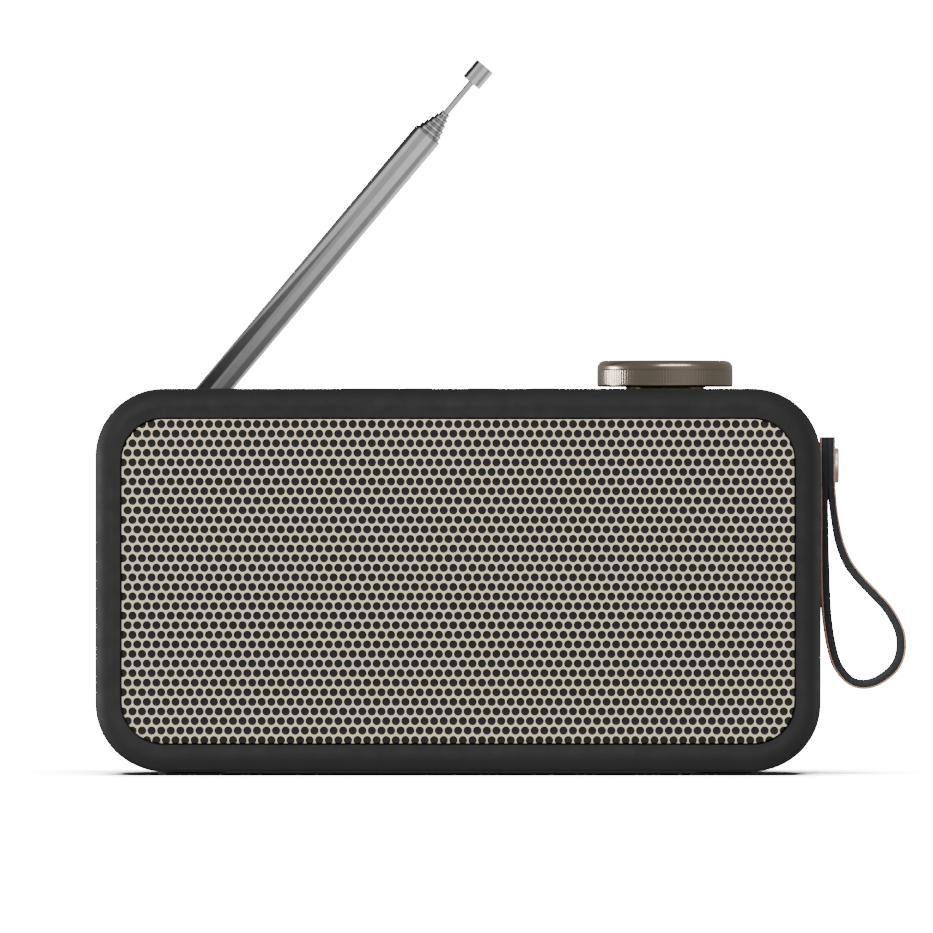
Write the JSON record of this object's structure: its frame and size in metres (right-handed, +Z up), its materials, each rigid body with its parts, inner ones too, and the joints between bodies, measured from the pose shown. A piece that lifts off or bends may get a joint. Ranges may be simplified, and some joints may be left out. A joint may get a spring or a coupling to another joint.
{
  "type": "portable radio",
  "caption": "Portable radio with a perforated metal front in a rounded dark cabinet, a knurled top knob, push buttons, a telescopic antenna that folds into a rear channel, and a leather strap.",
  "frame": {"origin": "on the surface the radio stands on, below the middle of the cabinet; the cabinet's underside is 1.06 mm above it, on rubber feet", "axes": "+Z up, -Y to the front (grille), +X to the right as seen from the front (strap side)"},
  "size_m": [0.2157, 0.056, 0.1912],
  "materials": {
    "cabinet_plastic": "soft-touch dark grey",
    "grille_paint": "satin warm beige",
    "grille_cloth": "fine black weave",
    "baffle_plastic": "black moulded",
    "rubber": "matt black",
    "steel": "zinc plated",
    "ferrite": "dark ferrite",
    "cone_paper": "black pulp cone",
    "copper": "enamelled winding",
    "knob_aluminium": "bronze anodised, turned",
    "collar_gilt": "dark gold anodised",
    "brass": "plain turned",
    "chrome": "polished",
    "leather": "dark navy with a tan outer face",
    "button_plastic": "soft-touch dark grey",
    "window": "smoked",
    "circuit_board": "green solder mask",
    "component_plastic": "black moulded",
    "cell_wrap": "shrink sleeve"
  },
  "bodies": {
    "cabinet": {"housing": "cabinet_plastic", "rear_cover": "cabinet_plastic", "rear_cover_gasket": "rubber", "rear_cover_screws": "steel", "rubber_feet": "rubber", "grille": "grille_paint", "grille_cloth": "grille_cloth", "front_baffle": "baffle_plastic", "baffle_screws": "steel", "driver_basket": "steel", "driver_surround": "rubber", "driver_top_plate": "steel", "driver_magnet": "ferrite", "driver_yoke": "steel", "radiator_frame": "baffle_plastic", "radiator_surround": "rubber", "speaker_screws": "steel", "knob_collar": "collar_gilt", "encoder_nut": "steel", "encoder_bushing": "brass", "encoder_body": "component_plastic", "display_window": "window", "display_module": "component_plastic", "tact_switches": "component_plastic", "top_board": "circuit_board", "top_board_screws": "steel", "antenna_socket": "brass", "antenna_socket_nut": "brass", "strap_screw": "steel", "strap_insert": "brass", "main_board": "circuit_board", "main_board_screws": "steel", "usb_c_socket": "steel", "aux_jack": "component_plastic", "radio_module": "steel", "capacitors": "component_plastic", "battery_cells": "cell_wrap", "battery_holder": "component_plastic"},
    "antenna_swivel": {"antenna_base": "chrome", "antenna_pin": "steel"},
    "antenna_arm": {"antenna_knuckle": "chrome", "antenna_tube_1": "chrome"},
    "antenna_stage_2": {"antenna_tube_2": "chrome"},
    "antenna_stage_3": {"antenna_tube_3": "chrome"},
    "antenna_stage_4": {"antenna_tube_4": "chrome"},
    "antenna_stage_5": {"antenna_tube_5": "chrome"},
    "antenna_stage_6": {"antenna_tube_6": "chrome"},
    "antenna_stage_7": {"antenna_rod": "chrome", "antenna_tip": "chrome"},
    "plunger": {"encoder_plunger": "component_plastic"},
    "knob_spindle": {"knob": "knob_aluminium", "encoder_shaft": "steel"},
    "button_left": {"button_1": "button_plastic"},
    "button_middle": {"button_2": "button_plastic"},
    "button_right": {"button_3": "button_plastic"},
    "driver_diaphragm": {"driver_cone": "cone_paper", "driver_dust_cap": "cone_paper", "driver_voice_coil": "copper"},
    "radiator_diaphragm": {"radiator_plate": "steel"},
    "strap": {"carry_strap": "leather"}
  },
  "joints": [
    {"name": "antenna_turn", "type": "hinge", "parent": "cabinet", "child": "antenna_swivel", "pos_m": [-0.0721, 0.021, 0.095], "axis": [0, 0, 1], "range_deg": [0, 180]},
    {"name": "antenna_tilt", "type": "hinge", "parent": "antenna_swivel", "child": "antenna_arm", "pos_m": [-0.0721, 0.021, 0.095], "axis": [0, -1, 0], "range_deg": [-50, 40]},
    {"name": "antenna_slide_2", "type": "slide", "parent": "antenna_arm", "child": "antenna_stage_2", "axis": [0.6428, 0, 0.766], "range_m": [0, 0.077]},
    {"name": "antenna_slide_3", "type": "slide", "parent": "antenna_stage_2", "child": "antenna_stage_3", "axis": [0.6428, 0, 0.766], "range_m": [0, 0.077]},
    {"name": "antenna_slide_4", "type": "slide", "parent": "antenna_stage_3", "child": "antenna_stage_4", "axis": [0.6428, 0, 0.766], "range_m": [0, 0.077]},
    {"name": "antenna_slide_5", "type": "slide", "parent": "antenna_stage_4", "child": "antenna_stage_5", "axis": [0.6428, 0, 0.766], "range_m": [0, 0.077]},
    {"name": "antenna_slide_6", "type": "slide", "parent": "antenna_stage_5", "child": "antenna_stage_6", "axis": [0.6428, 0, 0.766], "range_m": [0, 0.077]},
    {"name": "antenna_slide_7", "type": "slide", "parent": "antenna_stage_6", "child": "antenna_stage_7", "axis": [0.6428, 0, 0.766], "range_m": [0, 0.077]},
    {"name": "knob_press", "type": "slide", "parent": "cabinet", "child": "plunger", "axis": [0, 0, -1], "range_m": [0, 0.00035], "stiffness_N_per_m": 12000, "springref_m": -0.0001},
    {"name": "knob_turn", "type": "hinge", "parent": "plunger", "child": "knob_spindle", "pos_m": [0.0552, -0.003, 0.105], "axis": [0, 0, 1], "continuous": true},
    {"name": "button_1_press", "type": "slide", "parent": "cabinet", "child": "button_left", "axis": [0, 0, -1], "range_m": [0, 0.00035], "stiffness_N_per_m": 5000, "springref_m": -0.0001},
    {"name": "button_2_press", "type": "slide", "parent": "cabinet", "child": "button_middle", "axis": [0, 0, -1], "range_m": [0, 0.00035], "stiffness_N_per_m": 5000, "springref_m": -0.0001},
    {"name": "button_3_press", "type": "slide", "parent": "cabinet", "child": "button_right", "axis": [0, 0, -1], "range_m": [0, 0.00035], "stiffness_N_per_m": 5000, "springref_m": -0.0001},
    {"name": "driver_travel", "type": "slide", "parent": "cabinet", "child": "driver_diaphragm", "axis": [0, 1, 0], "range_m": [-0.0012, 0.0012], "stiffness_N_per_m": 2500, "deforming": ["driver_surround"]},
    {"name": "radiator_travel", "type": "slide", "parent": "cabinet", "child": "radiator_diaphragm", "axis": [0, 1, 0], "range_m": [-0.0015, 0.0015], "stiffness_N_per_m": 1500, "deforming": ["radiator_surround"]},
    {"name": "strap_swing", "type": "hinge", "parent": "cabinet", "child": "strap", "pos_m": [0.0965, 0, 0.0825], "axis": [1, 0, 0], "range_deg": [-90, 90]}
  ]
}
